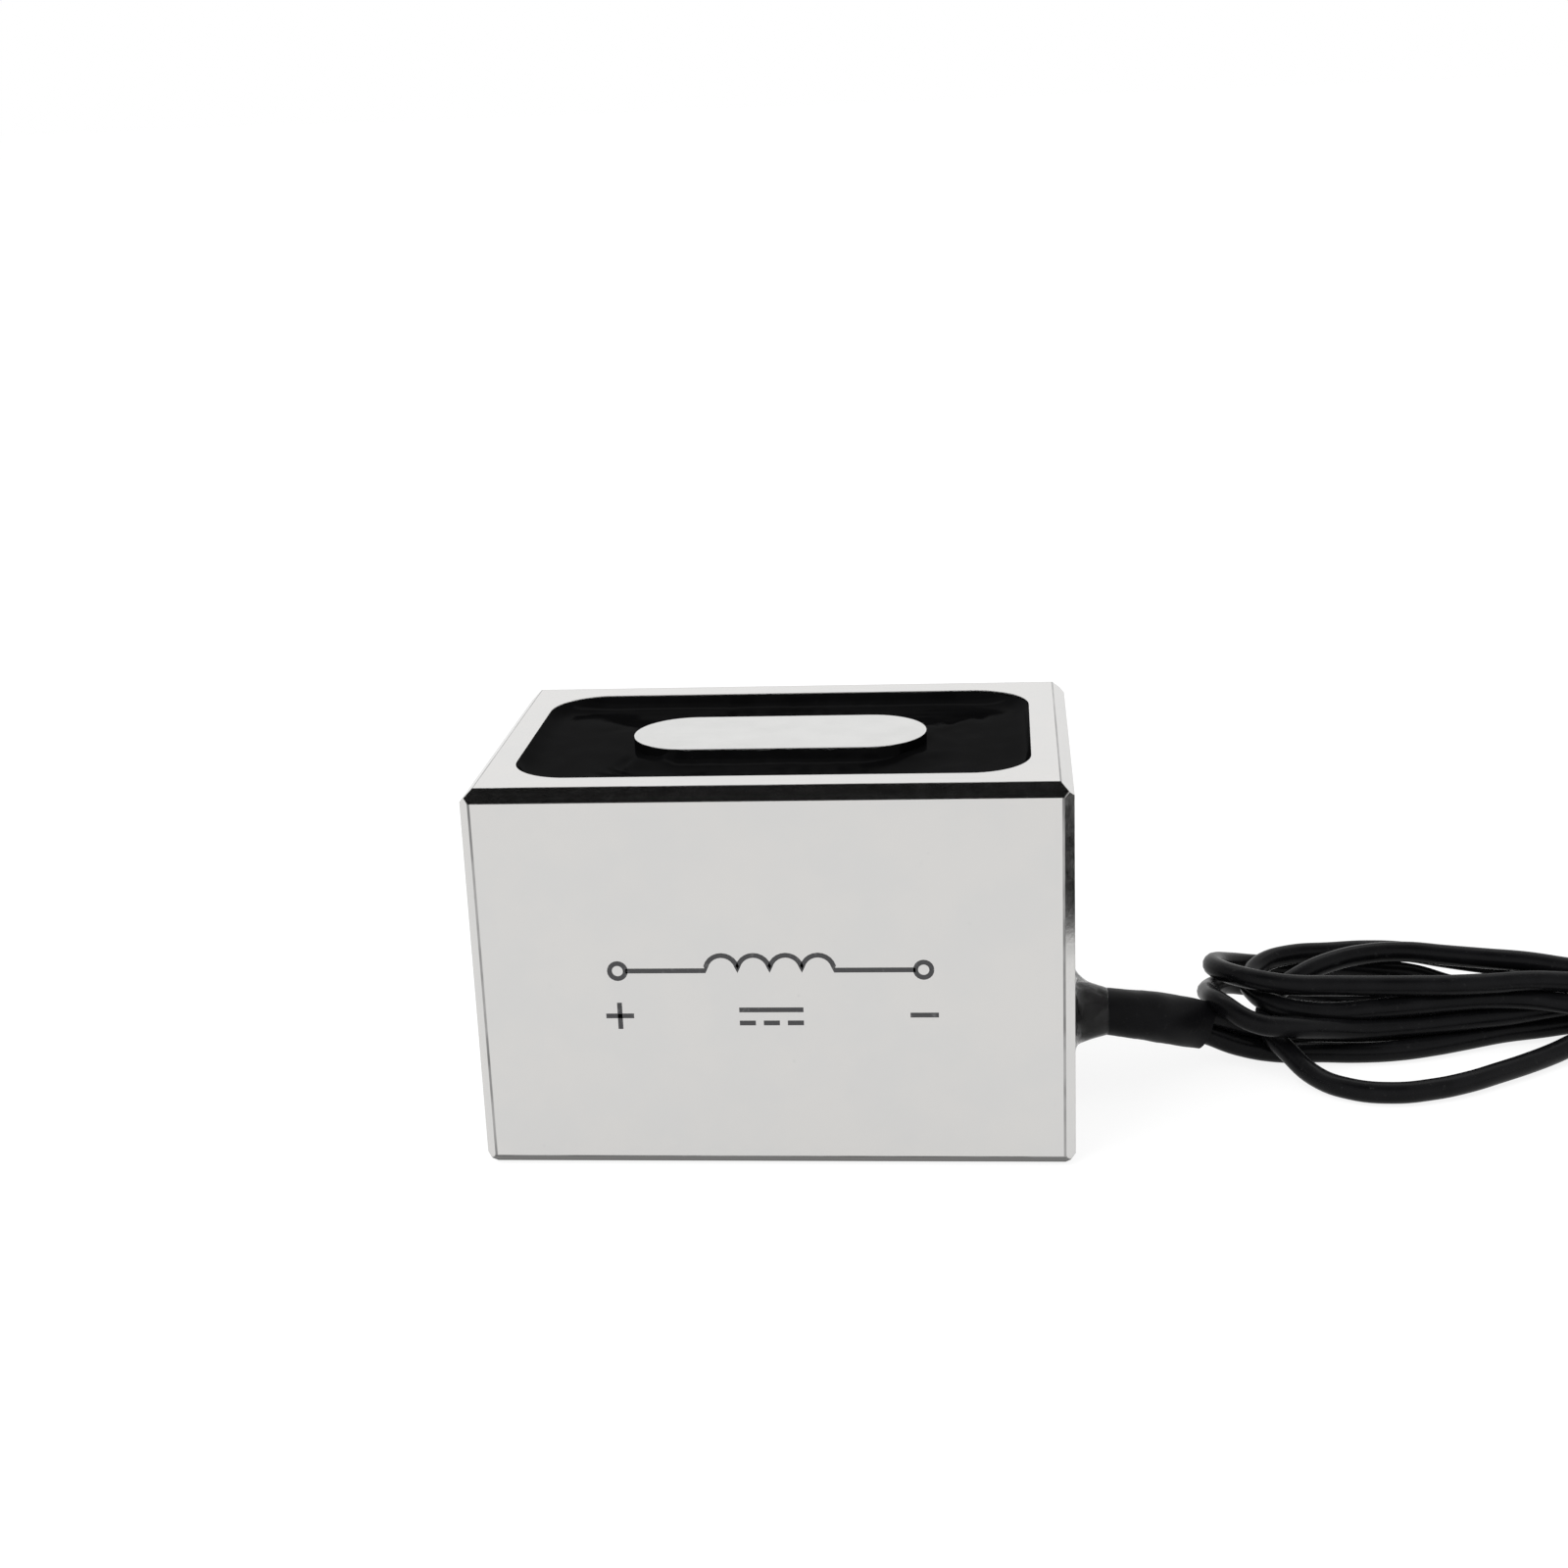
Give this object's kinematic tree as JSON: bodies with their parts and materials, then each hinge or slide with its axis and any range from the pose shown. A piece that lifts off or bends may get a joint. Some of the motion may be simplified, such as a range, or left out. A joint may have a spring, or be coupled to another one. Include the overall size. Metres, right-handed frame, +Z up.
{
  "type": "holding electromagnet",
  "caption": "Rectangular steel holding electromagnet with a flush oblong pole in a resin-filled pocket and a sleeved pair of black leads folded in a hank beside it.",
  "frame": {"origin": "centre of the housing's underside", "axes": "+X along the housing's length towards the lead exit, +Z up through the holding face"},
  "size_m": [0.078, 0.021, 0.02],
  "materials": {
    "plated_steel": "ground and nickel plated, satin",
    "pole_steel": "ground flush, satin",
    "bobbin_nylon": "natural nylon",
    "copper_wire": "enamelled copper wire",
    "bare_copper": "bare stranded copper",
    "coil_tape": "polyester coil tape",
    "solder": "bright solder",
    "joint_sleeving": "natural sleeving",
    "resin": "black potting resin, satin gloss",
    "seal_glue": "translucent grey sealing glue",
    "shrink_sleeve": "black shrink sleeve, satin",
    "lead_insulation": "black PVC insulation, satin",
    "tie_band": "black tie",
    "tinned_copper": "tinned stranded copper"
  },
  "bodies": {
    "root": {"housing": "plated_steel", "core": "pole_steel", "bobbin": "bobbin_nylon", "winding": "copper_wire", "coil_tape": "coil_tape", "start_tail": "copper_wire", "finish_tail": "copper_wire", "start_joint": "solder", "finish_joint": "solder", "start_joint_sleeve": "joint_sleeving", "finish_joint_sleeve": "joint_sleeving", "lead_a_strip": "bare_copper", "lead_b_strip": "bare_copper", "potting": "resin", "glue_seal": "seal_glue", "lead_sleeve": "shrink_sleeve", "lead_a": "lead_insulation", "lead_b": "lead_insulation", "lead_hank": "lead_insulation", "hank_tie": "tie_band", "lead_a_tail": "lead_insulation", "lead_b_tail": "lead_insulation", "lead_a_end": "tinned_copper", "lead_b_end": "tinned_copper"}
  },
  "joints": []
}
